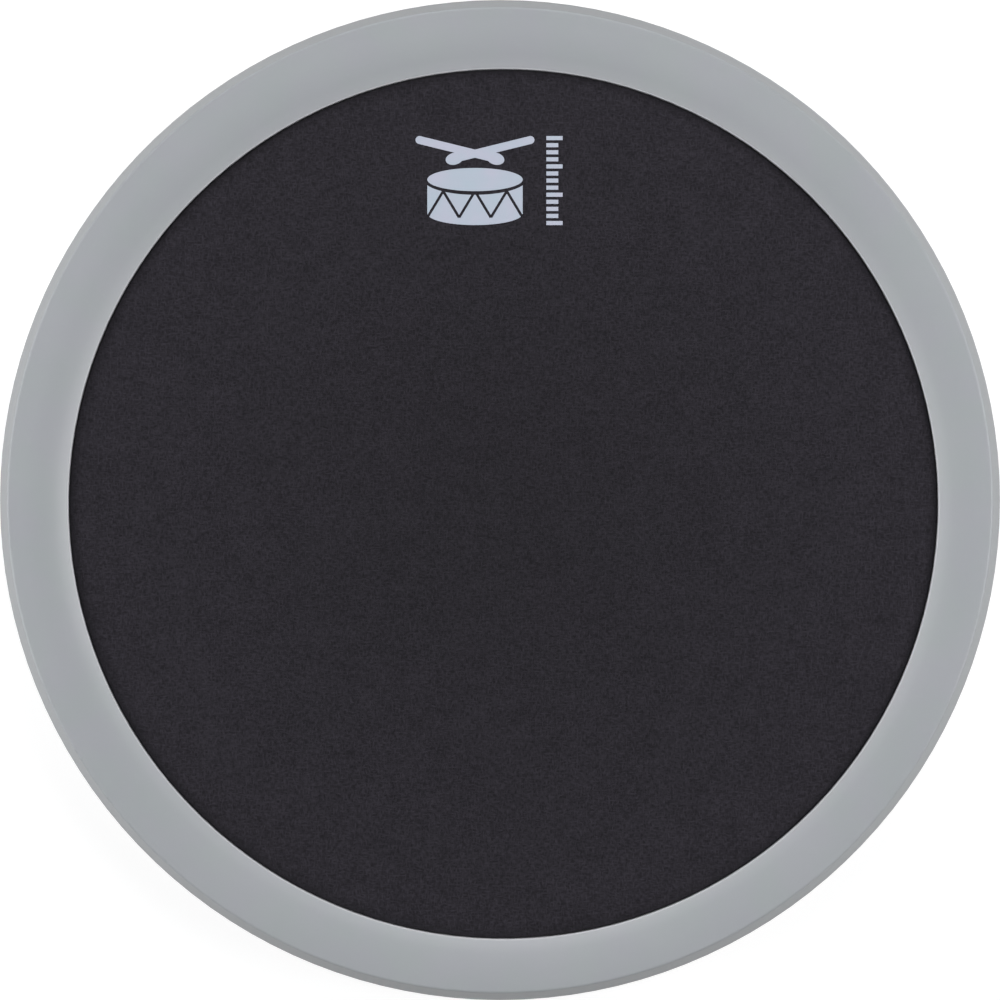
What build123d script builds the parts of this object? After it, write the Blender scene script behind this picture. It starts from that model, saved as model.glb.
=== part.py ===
from build123d import *

import math
import os

# A 12-inch drummer's practice pad: a fabric-topped playing pad in a soft silicone rim.
#
# The pad lies flat. The origin is the middle of its footprint on the table, +Z is up,
# and +Y points to the printed side, away from the player. All sizes are in millimetres.

# Driving dimensions
base_diameter = 305.0
overall_height = 26.0
wall_draft = 9.2
window_radius = 131.3
window_centre = (1.0, -1.2)
layer_gap = 0.2

# Thickness of each layer, from the table up
base_rib_height = 1.2
base_sheet_thickness = 1.8
film_thickness = 0.2
core_thickness = 10.7
damping_thickness = 2.0
foam_thickness = 3.5
backing_thickness = 1.0
fabric_thickness = 0.8
print_thickness = 0.1

# The height at which each layer begins
base_sheet_bottom = base_rib_height
base_film_bottom = base_sheet_bottom + base_sheet_thickness
core_bottom = base_film_bottom + film_thickness
core_top = core_bottom + core_thickness
damping_bottom = core_top + film_thickness
foam_film_bottom = damping_bottom + damping_thickness
foam_bottom = foam_film_bottom + film_thickness
backing_film_bottom = foam_bottom + foam_thickness
backing_bottom = backing_film_bottom + film_thickness
fabric_bottom = backing_bottom + backing_thickness
fabric_top = fabric_bottom + fabric_thickness

# Silicone rim
rim_bottom = base_sheet_bottom
core_radius = 143.0
core_chamfer = 0.5
base_pad_radius = 134.0
ridge_round = 0.8
foot_round = 1.0
shoulder_radius = 145.0
shoulder_slope = 24.0
lip_round = 0.5

# Ribs under the base pad
rib_pitch = 9.0
rib_width = 4.0
rib_round = 0.7
first_rib_radius = 31.0
centre_boss_radius = 22.0

# Printed marks on the fabric
mark_height = 26.9
drum_mark_width = 35.9
drum_mark_centre = (-7.55, 96.45)
tick_column_centre = (16.45, 96.45)

os.makedirs("parts", exist_ok=True)

layer_radius = window_radius - layer_gap
window_axis = Axis((*window_centre, 0), (0, 0, 1))


def window_plane(height):
    """The horizontal plane at a height, with its origin on the axis of the rim's window."""
    return Plane(origin=(*window_centre, height))


def save(piece, name):
    """Labels a finished piece and writes it as one STEP file."""
    piece.label = name
    export_step(piece, f"parts/{name}.step")


# Silicone rim: a ring with a groove that grips the edge of the core board.
# Its outer wall leans in by wall_draft, and the rounded foot is base_diameter wide.
# The top rolls off inwards along an arc that is tangent to the flat top at
# shoulder_radius, and ends in a small rounded lip round the window.
draft = math.radians(wall_draft)
foot_radius = base_diameter / 2 + foot_round * (math.tan(draft) + 1 / math.cos(draft) - 1)
ridge_radius = foot_radius - (overall_height - rim_bottom) * math.tan(draft)
bore_radius = window_radius - 5
slope = math.radians(shoulder_slope)
shoulder_run = shoulder_radius - window_radius
shoulder_arc_radius = shoulder_run / math.sin(slope)
lip_height = overall_height - shoulder_arc_radius * (1 - math.cos(slope))
shoulder_middle = (
    shoulder_radius - shoulder_arc_radius * math.sin(slope / 2),
    overall_height - shoulder_arc_radius * (1 - math.cos(slope / 2)),
)
above_rim = overall_height + 1

with BuildPart() as rim_shell:
    with BuildSketch(Plane.XZ):
        with BuildLine():
            Polyline(
                (base_pad_radius + layer_gap, rim_bottom),
                (foot_radius, rim_bottom),
                (ridge_radius, overall_height),
                (bore_radius, overall_height),
                (bore_radius, core_top),
                (core_radius, core_top),
                (core_radius, core_bottom),
                (base_pad_radius + layer_gap, core_bottom),
                close=True,
            )
        make_face()
    revolve(axis=Axis.Z)
    rims = rim_shell.edges().filter_by(GeomType.CIRCLE)
    foot_edge = rims.sort_by(SortBy.RADIUS)[-1]
    ridge_edge = rims.group_by(Axis.Z)[-1].sort_by(SortBy.RADIUS)[-1]
    fillet(foot_edge, radius=foot_round)
    fillet(ridge_edge, radius=ridge_round)
    with BuildSketch(Plane(origin=(*window_centre, 0), x_dir=(1, 0, 0), z_dir=(0, -1, 0))):
        with BuildLine():
            ThreePointArc(
                (shoulder_radius, overall_height),
                shoulder_middle,
                (window_radius, lip_height),
            )
            Polyline(
                (window_radius, lip_height),
                (window_radius, core_top),
                (0, core_top),
                (0, above_rim),
                (shoulder_radius, above_rim),
                (shoulder_radius, overall_height),
            )
        make_face()
    revolve(axis=window_axis, mode=Mode.SUBTRACT)
    lip_edge = (
        rim_shell.edges()
        .filter_by(GeomType.CIRCLE)
        .filter_by(lambda edge: abs(edge.center().Z - lip_height) < lip_round)
        .sort_by(SortBy.RADIUS)[0]
    )
    fillet(lip_edge, radius=lip_round)

# Core board: the rigid wood-fibre disc that carries every layer.
with BuildPart() as core_board:
    with BuildSketch(Plane.XY.offset(core_bottom)):
        Circle(core_radius)
    extrude(amount=core_thickness)
    chamfer(core_board.edges().filter_by(GeomType.CIRCLE), length=core_chamfer)

# Base pad: a non-slip rubber sheet with concentric ribs that stand on the table.
rib_count = 1 + int((base_pad_radius - first_rib_radius - rib_width) / rib_pitch)
with BuildPart() as base_pad:
    with BuildSketch(Plane.XY.offset(base_sheet_bottom)):
        Circle(base_pad_radius)
    extrude(amount=base_sheet_thickness)
    with BuildSketch(Plane.XY):
        for rib in reversed(range(rib_count)):
            rib_radius = first_rib_radius + rib * rib_pitch
            Circle(rib_radius + rib_width)
            Circle(rib_radius, mode=Mode.SUBTRACT)
        Circle(centre_boss_radius)
    extrude(amount=base_rib_height)
    fillet(base_pad.edges().group_by(Axis.Z)[0], radius=rib_round)

# Damping sheet: dense rubber that deadens the sound of a stroke.
with BuildPart() as damping_sheet:
    with BuildSketch(window_plane(damping_bottom)):
        Circle(layer_radius)
    extrude(amount=damping_thickness)

# Foam cushion: the soft layer that gives the pad its low rebound.
with BuildPart() as foam_cushion:
    with BuildSketch(window_plane(foam_bottom)):
        Circle(layer_radius)
    extrude(amount=foam_thickness)

# Fabric backing: the thin closed-cell sheet that keeps the fabric flat.
with BuildPart() as fabric_backing:
    with BuildSketch(window_plane(backing_bottom)):
        Circle(layer_radius)
    extrude(amount=backing_thickness)

# Playing fabric: the cloth disc that the sticks hit.
with BuildPart() as playing_fabric:
    with BuildSketch(window_plane(fabric_bottom)):
        Circle(layer_radius)
    extrude(amount=fabric_thickness)

# Drum print: a plain picture of a drum under two crossed sticks.
head_radii = (14.4, 3.5)
drum_hoop_gap = 1.1
half_mark = mark_height / 2
head_height = 0.3
drum_foot_height = -half_mark + head_radii[1]
foot_hoop_height = 2.3
cord_line_width = 0.8
cord_count = 3
stick_width = 2.4
stick_tip = (6.2, 6.6)
stick_butt = (-drum_mark_width / 2 + stick_width / 2, half_mark - stick_width / 2)
bead_radii = (2.7, 1.8)
stick_length = math.dist(stick_tip, stick_butt)
stick_angle = math.degrees(
    math.atan2(stick_tip[1] - stick_butt[1], stick_tip[0] - stick_butt[0])
)
stick_middle = (
    (stick_tip[0] + stick_butt[0]) / 2,
    (stick_tip[1] + stick_butt[1]) / 2,
)

with BuildPart() as drum_print:
    with BuildSketch(Plane(origin=(*drum_mark_centre, fabric_top))):
        # Drum shell, between its two hoops
        shell_middle = (head_height + drum_foot_height) / 2
        with Locations((0, shell_middle)):
            Rectangle(2 * head_radii[0], head_height - drum_foot_height)
        with Locations((0, drum_foot_height)):
            Ellipse(*head_radii)
        # Zigzag tension cord
        cord_step = head_radii[0] / cord_count
        cord_top = head_height - head_radii[1]
        cord_foot = drum_foot_height + foot_hoop_height - head_radii[1]
        for side in (-1, 1):
            for cord in range(cord_count):
                near = side * cord * cord_step
                far = side * (cord + 1) * cord_step
                ends = (cord_top, cord_foot) if cord % 2 == 0 else (cord_foot, cord_top)
                run = far - near
                rise = ends[1] - ends[0]
                with Locations(((near + far) / 2, (cord_top + cord_foot) / 2)):
                    Rectangle(
                        math.hypot(run, rise),
                        cord_line_width,
                        rotation=math.degrees(math.atan2(rise, run)),
                        mode=Mode.SUBTRACT,
                    )
        # Gap under the head
        with Locations((0, head_height)):
            Ellipse(head_radii[0] + drum_hoop_gap, head_radii[1] + drum_hoop_gap, mode=Mode.SUBTRACT)
            Ellipse(*head_radii)
        # Sticks, crossed above the head
        for side in (-1, 1):
            with Locations((side * stick_middle[0], stick_middle[1])):
                SlotOverall(stick_length + stick_width, stick_width, rotation=side * stick_angle)
            with Locations((side * stick_tip[0], stick_tip[1])):
                Ellipse(*bead_radii, rotation=side * stick_angle)
    extrude(amount=print_thickness)

# Tick print: a column of plain ticks beside the drum, every fourth one long.
tick_count = 13
tick_thickness = 1.25
long_tick = 4.9
short_tick = 3.6
tick_pitch = (mark_height - tick_thickness) / (tick_count - 1)

with BuildPart() as tick_print:
    with BuildSketch(Plane(origin=(*tick_column_centre, fabric_top))):
        for tick in range(tick_count):
            tick_length = long_tick if tick % 4 == 0 else short_tick
            left = -long_tick / 2 + tick_length / 2
            with Locations((left, -mark_height / 2 + tick_thickness / 2 + tick * tick_pitch)):
                Rectangle(tick_length, tick_thickness)
    extrude(amount=print_thickness)

# Bonding films: double-sided adhesive discs between the layers.
films = {
    "base_film": (Plane.XY.offset(base_film_bottom), base_pad_radius),
    "core_film": (window_plane(core_top), layer_radius),
    "foam_film": (window_plane(foam_film_bottom), layer_radius),
    "backing_film": (window_plane(backing_film_bottom), layer_radius),
}
for film_name, (film_plane, film_radius) in films.items():
    with BuildPart() as film:
        with BuildSketch(film_plane):
            Circle(film_radius)
        extrude(amount=film_thickness)
    save(film.part, film_name)

save(rim_shell.part, "rim_shell")
save(core_board.part, "core_board")
save(base_pad.part, "base_pad")
save(damping_sheet.part, "damping_sheet")
save(foam_cushion.part, "foam_cushion")
save(fabric_backing.part, "fabric_backing")
save(playing_fabric.part, "playing_fabric")
save(drum_print.part, "drum_print")
save(tick_print.part, "tick_print")
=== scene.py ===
"""The looks of the practice pad: its cushioned layers, its cloth, its print and its materials.

Everything is in metres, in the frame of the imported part: +Z up, +Y towards the print.
"""

import math

import bmesh
import bpy
import numpy as np
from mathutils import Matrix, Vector


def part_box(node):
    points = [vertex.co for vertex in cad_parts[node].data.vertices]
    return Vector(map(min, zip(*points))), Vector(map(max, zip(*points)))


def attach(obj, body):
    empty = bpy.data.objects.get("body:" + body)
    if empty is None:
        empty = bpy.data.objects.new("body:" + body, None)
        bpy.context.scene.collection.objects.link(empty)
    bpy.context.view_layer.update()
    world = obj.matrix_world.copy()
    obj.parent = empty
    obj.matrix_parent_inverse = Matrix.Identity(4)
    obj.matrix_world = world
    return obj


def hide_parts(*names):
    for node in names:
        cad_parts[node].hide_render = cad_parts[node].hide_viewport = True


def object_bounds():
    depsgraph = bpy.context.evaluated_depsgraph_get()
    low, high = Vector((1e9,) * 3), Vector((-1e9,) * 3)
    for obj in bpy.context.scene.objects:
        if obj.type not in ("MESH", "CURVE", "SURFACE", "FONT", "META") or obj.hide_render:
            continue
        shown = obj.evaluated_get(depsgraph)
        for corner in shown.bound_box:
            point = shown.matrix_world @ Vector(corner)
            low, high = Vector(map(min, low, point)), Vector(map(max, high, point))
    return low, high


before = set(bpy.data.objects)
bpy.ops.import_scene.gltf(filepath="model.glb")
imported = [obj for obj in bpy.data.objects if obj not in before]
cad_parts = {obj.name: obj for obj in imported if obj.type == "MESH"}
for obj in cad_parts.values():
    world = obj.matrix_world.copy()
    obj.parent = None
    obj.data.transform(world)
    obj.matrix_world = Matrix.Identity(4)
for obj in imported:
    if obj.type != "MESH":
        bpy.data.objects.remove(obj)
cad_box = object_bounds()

MM = 0.001

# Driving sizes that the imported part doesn't hold
CROWN = 0.40 * MM            # how far the cushion swells in its middle
SWELL_LIMIT = 3.0 * MM       # the furthest that the simulation may move a point
GRID_CELLS = 88              # cells across a soft disc, about 3 mm each
TUCK_WIDTH = 4.0 * MM        # the band in which the cloth turns down to its cut edge
TUCK_DROP = 0.30 * MM
CLOTH_EDGE_ROUND = 0.60 * MM
LAYER_EDGE_ROUND = 0.20      # as a share of the layer's thickness
EDGE_STEPS = 5
FRAY = 0.12 * MM             # how far the cut edge of the cloth is ragged
EDGE_SHADE_WIDTH = 4.0 * MM        # painted shade darkens the cloth over this width along its edge
THREAD_DRAW = 0.35           # noise is drawn out along a yarn or a fibre by this share
LIP_FADE = 5.0 * MM          # a painted highlight grows on the rim over this width towards the window
LIP_WIDTH = 0.8 * MM         # and the thin lip has a stronger painted highlight still
PRINT_LIFT = 0.02 * MM       # how far the ink stands above the cloth
PRINT_CELL = 2.0 * MM        # the print is cut this fine to follow the cloth
PRINT_DROP = 10.0 * MM       # and is dropped on it from this far above
FOOT_ROUND = 1.0 * MM        # the rim is widest this far above its underside
CAMERA_HEIGHT = 2.0
SENSOR = 36.0                # in millimetres, as Blender has it
NEAREST = 0.05               # the camera sees from this distance
FURTHEST = 20.0              # to this one
FLOOR_HALF = 4.0
FLOOR_TONE = 0.30
FLOOR_GLOW = 0.78            # the pad lies on a softly lit white table
FLOOR_GAP = 0.05 * MM        # so that the table and the ribs on it don't share a plane
WORLD_TONE = 0.80            # the pale surroundings, which light nothing
WELD_GAP = 0.001 * MM        # points closer than this are one point
SHARP_ANGLE = math.radians(50)
SEED = 7

# The trial cushion's cloth simulation
FRAMES = 20
PRESSURE = 4.0
CLOTH_QUALITY = 6
CLOTH_MASS = 0.3
CLOTH_STIFFNESS = 15.0
CLOTH_BENDING = 2.0

# Lights: place, width and height in metres, and power in watts
LAMPS = {
    "left_box": ((-0.8, 0.0, 0.8), (0.7, 0.7), 4.3),
    "left_high_box": ((-0.8, 0.0, 1.5), (0.8, 0.8), 1.4),
    "left_strip": ((-0.9, 0.0, 0.3), (0.8, 0.4), 3.8),
    "right_box": ((0.8, 0.0, 0.8), (0.7, 0.7), 8.6),
    "right_strip": ((0.9, 0.0, 0.3), (0.8, 0.4), 0.95),
    "back_box": ((0.0, 0.8, 0.8), (0.7, 0.7), 3.8),
    "back_strip": ((0.0, 0.9, 0.3), (0.8, 0.4), 1.3),
    "front_fill": ((0.0, -0.6, 0.5), (0.6, 0.6), 0.4),
}


# ---------------------------------------------------------------- node helpers

class Nodes:
    """A new material, with short ways to add nodes to it and to link them."""

    def __init__(self, name):
        self.material = bpy.data.materials.new(name)
        self.material.use_nodes = True
        self.tree = self.material.node_tree
        self.shader = self.tree.nodes["Principled BSDF"]
        self.place = self.add("ShaderNodeTexCoord").outputs["Object"]

    def add(self, kind, inputs=None, **settings):
        node = self.tree.nodes.new(kind)
        for key, value in settings.items():
            setattr(node, key, value)
        for key, value in (inputs or {}).items():
            self.put(value, node.inputs[key])
        return node

    def put(self, value, socket):
        if isinstance(value, bpy.types.NodeSocket):
            self.tree.links.new(value, socket)
        else:
            socket.default_value = value

    def set(self, **inputs):
        for key, value in inputs.items():
            self.put(value, self.shader.inputs[key.replace("_", " ")])

    def noise(self, scale, detail=3.0, roughness=0.5, place=None):
        """Noise from 0 to 1; scale is in cycles per metre."""
        inputs = {
            "Vector": place or self.place,
            "Scale": scale,
            "Detail": detail,
            "Roughness": roughness,
        }
        return self.add("ShaderNodeTexNoise", inputs).outputs["Fac"]

    def drawn_out(self, x, y):
        """The place on the surface, squeezed along x or y, which draws noise out into threads."""
        inputs = {"Vector": self.place, "Scale": (x, y, 1.0)}
        return self.add("ShaderNodeMapping", inputs).outputs["Vector"]

    def maths(self, operation, a, b):
        return self.add("ShaderNodeMath", {0: a, 1: b}, operation=operation).outputs[0]

    def spread(self, value, low, high, to_low, to_high, **settings):
        """value, moved from the range low to high into the range to_low to to_high."""
        inputs = {
            "Value": value,
            "From Min": low,
            "From Max": high,
            "To Min": to_low,
            "To Max": to_high,
        }
        return self.add("ShaderNodeMapRange", inputs, **settings).outputs["Result"]

    def mix(self, share, a, b):
        """A colour between a and b."""
        node = self.add("ShaderNodeMix", data_type="RGBA")
        self.put(share, node.inputs["Factor"])
        self.put(a, node.inputs["A"])
        self.put(b, node.inputs["B"])
        return node.outputs["Result"]

    def bump(self, height, strength, distance, normal=None):
        inputs = {"Height": height, "Strength": strength, "Distance": distance}
        if normal is not None:
            inputs["Normal"] = normal
        return self.add("ShaderNodeBump", inputs).outputs["Normal"]


def colour(red, green, blue):
    return (red, green, blue, 1.0)


# ------------------------------------------------------------------ materials

def distance_from(m, centre):
    """How far a point of the surface lies from the upright axis through centre."""
    middle = m.add("ShaderNodeVectorMath", {0: m.place, 1: (*centre, 0)}, operation="SUBTRACT")
    flat = m.add("ShaderNodeVectorMath", {0: middle.outputs[0], 1: (1, 1, 0)}, operation="MULTIPLY")
    return m.add("ShaderNodeVectorMath", {0: flat.outputs[0]}, operation="LENGTH").outputs["Value"]


def silicone(centre, window_radius):
    """Grey moulded silicone: matt, faintly clouded, with a painted highlight growing towards the thin
    lip round the window.

    Its steep outer side is painted darker as painted shade, and is a little duller."""
    m = Nodes("moulded_silicone")
    cloud = m.noise(28, 4)
    fine = m.noise(900, 3)
    tint = m.spread(m.noise(70, 2), 0.35, 0.65, 0, 1)
    cool = m.mix(tint, colour(0.325, 0.347, 0.360), colour(0.331, 0.342, 0.367))
    base = m.mix(m.spread(cloud, 0.3, 0.7, 0, 0.12), cool, colour(0.42, 0.43, 0.44))
    clean = m.mix(m.spread(fine, 0.62, 0.78, 0, 0.10), base, colour(0.42, 0.44, 0.46))

    reach = distance_from(m, centre)
    fade_end = window_radius + LIP_FADE
    # painted highlight: the rim is painted paler towards the window, and palest on its thin lip
    lip_highlight_fade = m.spread(reach, window_radius, fade_end, 0.12, 0, interpolation_type="SMOOTHSTEP")
    lip_highlight = m.spread(reach, window_radius + 0.5 * LIP_WIDTH, window_radius + LIP_WIDTH, 0.65, 0)
    pale = m.mix(m.maths("MAXIMUM", lip_highlight_fade, lip_highlight), clean, colour(0.60, 0.60, 0.63))

    facing = m.add("ShaderNodeSeparateXYZ", {0: m.add("ShaderNodeTexCoord").outputs["Normal"]})
    outside = m.spread(reach, fade_end, fade_end + LIP_FADE, 0, 1)
    # painted shade: the steep outer wall is painted darker; it is also made rougher
    side = m.maths("MULTIPLY", outside, m.spread(facing.outputs["Z"], 0.35, 0.75, 1, 0))
    m.set(Base_Color=m.mix(m.maths("MULTIPLY", side, 0.8), pale, colour(0.26, 0.27, 0.28)))
    gloss = m.spread(fine, 0.3, 0.7, 0.32, 0.40)
    m.set(Roughness=m.maths("ADD", gloss, m.maths("MULTIPLY", side, 0.28)))
    m.shader.inputs["IOR"].default_value = 1.45
    rough = m.bump(m.noise(3600, 2), 0.25, 0.02 * MM)
    m.set(Normal=m.bump(m.noise(120, 2), 0.04, 0.05 * MM, rough))
    return m.material


def cloth(centre, radius):
    """Black woven playing cloth: short slubs along both yarns, fuzz, uneven dye.

    Painted light darkens its middle a little and brightens its outer part, and painted shade darkens
    it along its edge."""
    m = Nodes("black_cloth")
    yarns = 1900
    weft = m.noise(yarns, 2, 0.5, m.drawn_out(THREAD_DRAW, 1.0))
    warp = m.noise(yarns, 2, 0.5, m.drawn_out(1.0, THREAD_DRAW))
    fuzz = m.noise(1300, 3, 0.6)
    patches = m.noise(160, 3, 0.6)
    slubs = m.maths("MAXIMUM", weft, warp)
    height = m.maths("ADD", m.maths("MULTIPLY", slubs, 0.75), m.maths("MULTIPLY", fuzz, 0.25))
    tone = m.maths("ADD", m.maths("MULTIPLY", height, 0.88), m.maths("MULTIPLY", patches, 0.12))
    shed = m.spread(tone, 0.42, 0.66, 0, 1)
    dye = m.mix(shed, colour(0.0057, 0.0049, 0.0074), colour(0.0231, 0.0205, 0.0274))

    reach = distance_from(m, centre)
    # painted light: the cloth is painted darker in its middle and lighter towards its edge
    painted_light_gradient = m.spread(reach, 0.15 * radius, 0.85 * radius, 0.92, 1.14)
    # painted shade: the cloth is painted darker along its edge, under the rim's lip
    edge_shade = m.spread(reach, radius - EDGE_SHADE_WIDTH, radius, 1.0, 0.72)
    shade = m.maths("MULTIPLY", painted_light_gradient, edge_shade)
    # the dye times the painted light and painted shade above
    shaded_dye = m.add("ShaderNodeVectorMath", {0: dye, 1: shade}, operation="MULTIPLY")
    m.set(Base_Color=shaded_dye.outputs[0])
    m.set(Roughness=m.spread(fuzz, 0.3, 0.7, 0.86, 0.98))
    m.shader.inputs["Specular IOR Level"].default_value = 0.25
    m.shader.inputs["Sheen Weight"].default_value = 0.08
    m.shader.inputs["Sheen Roughness"].default_value = 0.5
    m.set(Normal=m.bump(height, 0.6, 0.12 * MM))
    return m.material


def ink():
    """Silver-blue printed ink that lets the weave show faintly through."""
    m = Nodes("printed_ink")
    sheen = m.noise(110, 2)
    fuzz = m.noise(2600, 3, 0.7)
    drift = m.spread(sheen, 0.3, 0.7, 0, 1)
    m.set(Base_Color=m.mix(drift, colour(0.40, 0.47, 0.55), colour(0.45, 0.46, 0.56)))
    m.set(Roughness=m.spread(fuzz, 0.3, 0.7, 0.42, 0.6))
    m.set(Normal=m.bump(fuzz, 0.35, 0.05 * MM))
    return m.material


def rubber():
    """Black rubber sheet: dull, dusty in places, with a faint calendered grain."""
    m = Nodes("rubber_sheet")
    dust = m.noise(60, 5, 0.6)
    grain = m.noise(2200, 2)
    dusty = m.spread(dust, 0.35, 0.75, 0, 1)
    m.set(Base_Color=m.mix(dusty, colour(0.018, 0.018, 0.019), colour(0.035, 0.034, 0.033)))
    m.set(Roughness=m.spread(dust, 0.3, 0.7, 0.62, 0.8))
    m.set(Normal=m.bump(grain, 0.5, 0.04 * MM))
    return m.material


def fibre_board():
    """Pressed wood-fibre board: tan, with short darker fibres."""
    m = Nodes("pressed_board")
    fibres = m.noise(1500, 4, 0.7, m.drawn_out(1.0, THREAD_DRAW))
    blotch = m.spread(m.noise(70, 3), 0.3, 0.7, 0, 1)
    tan = m.mix(blotch, colour(0.40, 0.27, 0.155), colour(0.45, 0.31, 0.185))
    m.set(Base_Color=m.mix(m.spread(fibres, 0.5, 0.75, 0, 0.5), tan, colour(0.22, 0.13, 0.07)))
    m.set(Roughness=m.spread(fibres, 0.3, 0.7, 0.7, 0.9))
    m.set(Normal=m.bump(fibres, 0.4, 0.05 * MM))
    return m.material


def foam(name, dark, light, cells):
    """Cellular foam: small rounded cells with thin walls between them."""
    m = Nodes(name)
    cell = m.add("ShaderNodeTexVoronoi", {"Vector": m.place, "Scale": cells}).outputs["Distance"]
    m.set(Base_Color=m.mix(m.spread(cell, 0.1, 0.7, 0, 1), dark, light))
    m.set(Roughness=m.spread(cell, 0.0, 0.7, 0.8, 0.95))
    m.set(Normal=m.bump(cell, 0.7, 0.15 * MM))
    return m.material


def film():
    """Amber double-sided adhesive film with small trapped bubbles."""
    m = Nodes("adhesive_film")
    bubbles = m.noise(500, 2)
    airy = m.spread(bubbles, 0.55, 0.7, 0, 1)
    m.set(Base_Color=m.mix(airy, colour(0.62, 0.56, 0.42), colour(0.74, 0.70, 0.60)))
    m.set(Roughness=m.spread(bubbles, 0.4, 0.7, 0.3, 0.5))
    m.set(Normal=m.bump(bubbles, 0.3, 0.03 * MM))
    return m.material


def floor_paint():
    """The lit white table top, which can be seen through from underneath."""
    m = Nodes("floor_paper")
    m.set(Base_Color=colour(FLOOR_TONE, FLOOR_TONE, FLOOR_TONE), Roughness=0.9)
    m.shader.inputs["Emission Color"].default_value = colour(1, 1, 1)
    m.shader.inputs["Emission Strength"].default_value = FLOOR_GLOW
    from_below = m.add("ShaderNodeNewGeometry").outputs["Backfacing"]
    clear = m.add("ShaderNodeBsdfTransparent").outputs[0]
    either = m.add("ShaderNodeMixShader", {0: from_below, 1: m.shader.outputs[0], 2: clear})
    m.put(either.outputs[0], m.tree.nodes["Material Output"].inputs["Surface"])
    return m.material


def dress(obj, material):
    obj.data.materials.clear()
    obj.data.materials.append(material)


def stand_in(piece, node):
    """Puts a piece in a CAD node's place: hangs it from the root body and hides the node."""
    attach(piece, "root")
    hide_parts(node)


def smooth_rounds(obj):
    """Shades a moulded CAD node's fillets evenly, with normals set by the large faces beside them."""
    weld = obj.modifiers.new("weld", "WELD")
    weld.merge_threshold = WELD_GAP
    split = obj.modifiers.new("split", "EDGE_SPLIT")
    split.split_angle = SHARP_ANGLE
    split.use_edge_sharp = False
    obj.modifiers.new("even_normals", "WEIGHTED_NORMAL")


# --------------------------------------------------------------- soft layers

def disc_grid(cells):
    """A unit disc as an even square grid: its points, its faces and the loop round its edge."""
    steps = np.linspace(-1, 1, cells + 1)
    across, up = np.meshgrid(steps, steps)
    wide = np.abs(across) > np.abs(up)
    radius = np.where(wide, across, up)
    other = np.where(wide, up, across)
    ratio = other / np.where(radius == 0, 1, radius)
    angle = np.where(wide, ratio * math.pi / 4, math.pi / 2 - ratio * math.pi / 4)
    points = np.stack([radius * np.cos(angle), radius * np.sin(angle)], axis=-1).reshape(-1, 2)
    row = cells + 1
    faces = [
        (j * row + i, j * row + i + 1, (j + 1) * row + i + 1, (j + 1) * row + i)
        for j in range(cells)
        for i in range(cells)
    ]
    front = [i for i in range(cells)]
    right = [j * row + cells for j in range(cells)]
    back = [cells * row + cells - i for i in range(cells)]
    left = [(cells - j) * row for j in range(cells)]
    return points, faces, front + right + back + left


UNIT_POINTS, UNIT_FACES, UNIT_LOOP = disc_grid(GRID_CELLS)


def soft_disc(name, centre, radius, low, high, edge_round, fray=0.0):
    """A closed disc. low and high are the heights of its two faces, one number for each grid point.

    Its upper edge is rounded, every face of it is a quad, and its side is ragged by up to fray."""
    count = len(UNIT_POINTS)
    outwards = UNIT_POINTS[UNIT_LOOP] / np.linalg.norm(UNIT_POINTS[UNIT_LOOP], axis=1)[:, None]
    ragged = fray * np.random.default_rng(SEED).uniform(-1, 1, (len(UNIT_LOOP), 1))
    inner = radius - edge_round
    plane = centre + UNIT_POINTS * inner
    points = [np.column_stack([plane, high])]
    loops = [list(UNIT_LOOP)]
    edge_high = high[UNIT_LOOP]
    edge_low = low[UNIT_LOOP]
    sides = []
    for step in range(1, EDGE_STEPS + 1):
        turn = math.pi / 2 * step / EDGE_STEPS
        drop = edge_round * (1 - math.cos(turn))
        sides.append((inner + edge_round * math.sin(turn), edge_high - drop))
    sides.append((radius, edge_low))
    total = count
    for reach, height in sides:
        pulled = ragged * (reach - inner) / edge_round
        points.append(np.column_stack([centre + outwards * (reach + pulled), height]))
        loops.append(list(range(total, total + len(UNIT_LOOP))))
        total += len(UNIT_LOOP)
    points.append(np.column_stack([plane, low]))
    loops.append([total + i for i in UNIT_LOOP])
    faces = list(UNIT_FACES)
    for upper, lower in zip(loops, loops[1:]):
        ahead_upper = upper[1:] + upper[:1]
        ahead_lower = lower[1:] + lower[:1]
        faces += zip(upper, lower, ahead_lower, ahead_upper)
    faces += [tuple(total + i for i in reversed(face)) for face in UNIT_FACES]
    mesh = bpy.data.meshes.new(name)
    mesh.from_pydata(np.concatenate(points).tolist(), [], faces)
    mesh.shade_smooth()
    obj = bpy.data.objects.new(name, mesh)
    bpy.context.collection.objects.link(obj)
    return obj


def disc_of(node):
    """The centre, radius, bottom and top of a round CAD node."""
    low, high = (np.array(corner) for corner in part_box(node))
    middle = (low + high) / 2
    return middle[:2], (high - low)[:2].max() / 2, low[2], high[2]


def swell(obj):
    """How far each point of a closed soft disc rises when cloth pressure blows it up.

    Its underside is held."""
    start = np.array([v.co for v in obj.data.vertices])
    middle = (start[:, 2].min() + start[:, 2].max()) / 2
    held = obj.vertex_groups.new(name="held")
    held.add([i for i, p in enumerate(start) if p[2] < middle], 1.0, "REPLACE")
    cloth_modifier = obj.modifiers.new("cloth", "CLOTH")
    settings = cloth_modifier.settings
    settings.quality = CLOTH_QUALITY
    settings.mass = CLOTH_MASS
    settings.tension_stiffness = CLOTH_STIFFNESS
    settings.compression_stiffness = CLOTH_STIFFNESS
    settings.bending_stiffness = CLOTH_BENDING
    settings.use_pressure = True
    settings.uniform_pressure_force = PRESSURE
    settings.vertex_group_mass = "held"
    settings.effector_weights.gravity = 0
    scene = bpy.context.scene
    for step in range(1, FRAMES + 1):
        scene.frame_set(step)
    evaluated = obj.evaluated_get(bpy.context.evaluated_depsgraph_get())
    end = np.array([v.co for v in evaluated.data.vertices])
    obj.modifiers.remove(cloth_modifier)
    scene.frame_set(1)
    return np.clip(end - start, -SWELL_LIMIT, SWELL_LIMIT)[:, 2]


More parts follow.
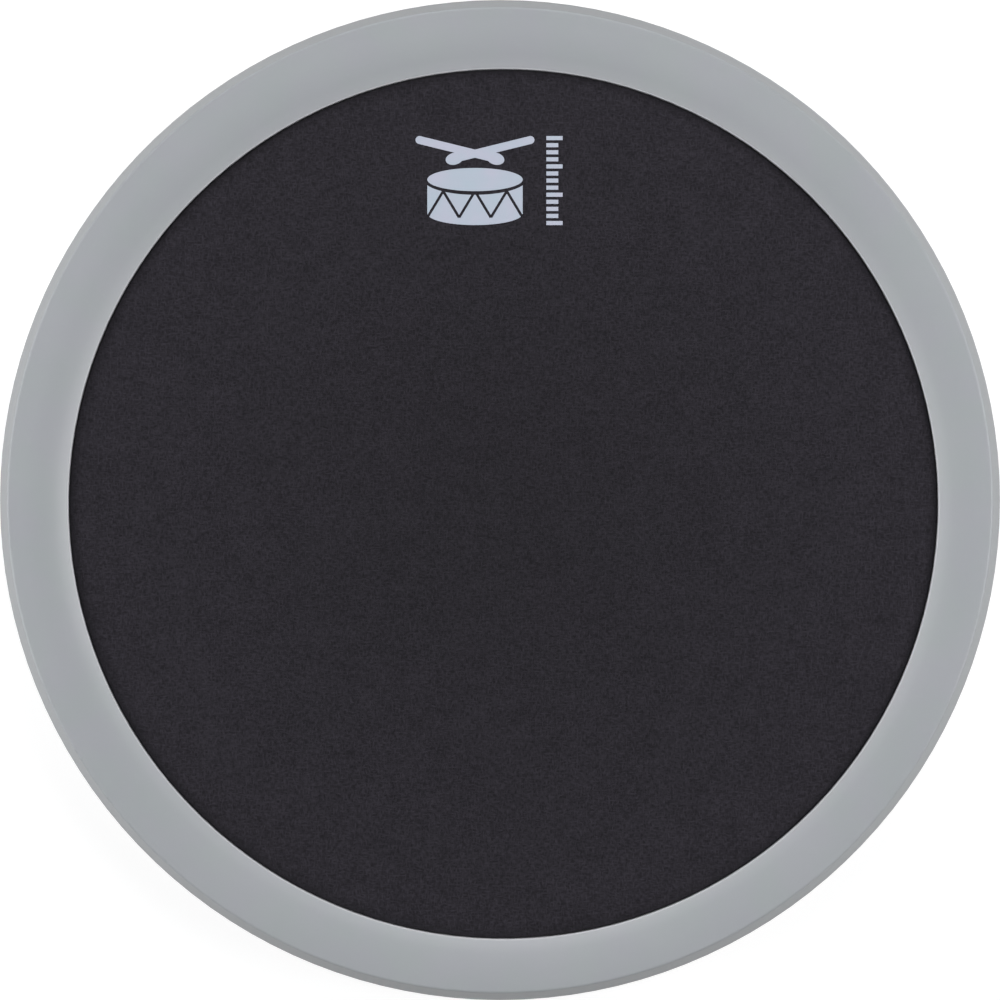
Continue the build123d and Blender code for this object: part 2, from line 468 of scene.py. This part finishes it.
def crown_field():
    """How far the cushion's top rises at each grid point: most in the middle, nothing at the edge."""
    centre, radius, low, high = disc_of("foam_cushion")
    level = np.zeros(len(UNIT_POINTS))
    edge_round = LAYER_EDGE_ROUND * (high - low)
    trial = soft_disc("trial_cushion", centre, radius, level + low, level + high, edge_round)
    rise = swell(trial)[: len(UNIT_POINTS)]
    bpy.data.objects.remove(trial)
    rise = rise - rise[UNIT_LOOP].mean()
    return CROWN * np.clip(rise / rise.max(), 0, 1)


def tuck_field(radius):
    """How far the cloth turns down towards its cut edge at each grid point."""
    inwards = radius * (1 - np.linalg.norm(UNIT_POINTS, axis=1))
    share = np.clip(1 - inwards / TUCK_WIDTH, 0, 1)
    return -TUCK_DROP * share ** 2


def soft_layers():
    """Every layer from the cushion up, each resting on the one below."""
    crown = crown_field()
    rise_below = np.zeros(len(UNIT_POINTS))
    made = {}
    for node in ("foam_cushion", "backing_film", "fabric_backing", "playing_fabric"):
        centre, radius, low, high = disc_of(node)
        under = low + rise_below
        over = high + crown
        edge_round = LAYER_EDGE_ROUND * (high - low)
        fray = 0.0
        if node == "playing_fabric":
            over = over + tuck_field(radius)
            edge_round = CLOTH_EDGE_ROUND
            fray = FRAY
        made[node] = soft_disc(node + "_soft", centre, radius, under, over, edge_round, fray)
        stand_in(made[node], node)
        rise_below = crown
    return made


def lay_on(name, node, surface):
    """A copy of a thin printed CAD node, cut fine and laid on the cloth."""
    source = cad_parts[node]
    mesh = source.data.copy()
    shape = bmesh.new()
    shape.from_mesh(mesh)
    low, high = (np.array(corner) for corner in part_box(node))
    for axis in (0, 1):
        for cut in np.arange(low[axis] + PRINT_CELL, high[axis], PRINT_CELL):
            normal = (1, 0, 0) if axis == 0 else (0, 1, 0)
            place = (cut, 0, 0) if axis == 0 else (0, cut, 0)
            everything = shape.verts[:] + shape.edges[:] + shape.faces[:]
            bmesh.ops.bisect_plane(shape, geom=everything, plane_co=place, plane_no=normal)
    for vertex in shape.verts:
        above = (vertex.co.x, vertex.co.y, high[2] + PRINT_DROP)
        hit, place, _, _ = surface.ray_cast(above, (0, 0, -1))
        thickness = vertex.co.z - low[2]
        vertex.co.z = place.z + PRINT_LIFT + thickness
    shape.to_mesh(mesh)
    shape.free()
    obj = bpy.data.objects.new(name, mesh)
    bpy.context.collection.objects.link(obj)
    stand_in(obj, node)
    return obj


# -------------------------------------------------------------------- studio

def lamp(name, place, size, power):
    """A soft rectangular light at place, in metres, that points at the pad."""
    light = bpy.data.lights.new(name, "AREA")
    light.shape = "RECTANGLE"
    light.size, light.size_y = size
    light.energy = power
    obj = bpy.data.objects.new(name, light)
    obj.location = place
    obj.rotation_euler = (-Vector(place)).to_track_quat("-Z", "Y").to_euler()
    obj.visible_camera = False
    bpy.context.collection.objects.link(obj)


def studio():
    """A pale lit floor, soft lights and the camera straight above the pad."""
    low, high = cad_box
    floor_mesh = bpy.data.meshes.new("floor")
    corners = [(x * FLOOR_HALF, y * FLOOR_HALF, 0) for x, y in ((-1, -1), (1, -1), (1, 1), (-1, 1))]
    floor_mesh.from_pydata(corners, [], [(0, 1, 2, 3)])
    floor = bpy.data.objects.new("floor", floor_mesh)
    bpy.context.collection.objects.link(floor)
    floor.location.z = low[2] - FLOOR_GAP
    dress(floor, floor_paint())

    world = bpy.data.worlds.new("studio")
    world.use_nodes = True
    background = world.node_tree.nodes["Background"]
    background.inputs["Color"].default_value = colour(1, 1, 1)
    background.inputs["Strength"].default_value = WORLD_TONE
    world.cycles_visibility.diffuse = False
    world.cycles_visibility.glossy = False
    bpy.context.scene.world = world

    for name, (place, size, power) in LAMPS.items():
        lamp(name, place, size, power)

    camera = bpy.data.cameras.new("camera")
    camera.sensor_width = SENSOR
    half_width = (high[0] - low[0]) / 2
    foot_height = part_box("rim_shell")[0][2] + FOOT_ROUND
    camera.lens = SENSOR / 2 * (CAMERA_HEIGHT - foot_height) / half_width
    camera.clip_start = NEAREST
    camera.clip_end = FURTHEST
    eye = bpy.data.objects.new("camera", camera)
    eye.location = (0, 0, CAMERA_HEIGHT)
    bpy.context.collection.objects.link(eye)
    bpy.context.scene.camera = eye
    bpy.context.scene.view_settings.view_transform = "Standard"


# ---------------------------------------------------------------------- make

black_rubber = rubber()
silver_ink = ink()
bonding_film = film()
grey_foam = foam("open_foam", colour(0.05, 0.05, 0.055), colour(0.13, 0.13, 0.14), 1500)
black_foam = foam("closed_foam", colour(0.012, 0.012, 0.012), colour(0.03, 0.03, 0.03), 3000)
layers = soft_layers()
dress(layers["foam_cushion"], grey_foam)
dress(layers["backing_film"], bonding_film)
dress(layers["fabric_backing"], black_foam)
cloth_centre, cloth_radius, _, _ = disc_of("playing_fabric")
dress(layers["playing_fabric"], cloth(cloth_centre, cloth_radius))
for print_node in ("drum_print", "tick_print"):
    dress(lay_on(print_node + "_ink", print_node, layers["playing_fabric"]), silver_ink)

cad_materials = {
    "rim_shell": silicone(cloth_centre, cloth_radius),
    "core_board": fibre_board(),
    "base_pad": black_rubber,
    "damping_sheet": black_rubber,
    "base_film": bonding_film,
    "core_film": bonding_film,
    "foam_film": bonding_film,
}
for node_name, material in cad_materials.items():
    dress(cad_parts[node_name], material)
for node_name in ("rim_shell", "base_pad"):
    smooth_rounds(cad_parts[node_name])

studio()

bpy.context.view_layer.update()
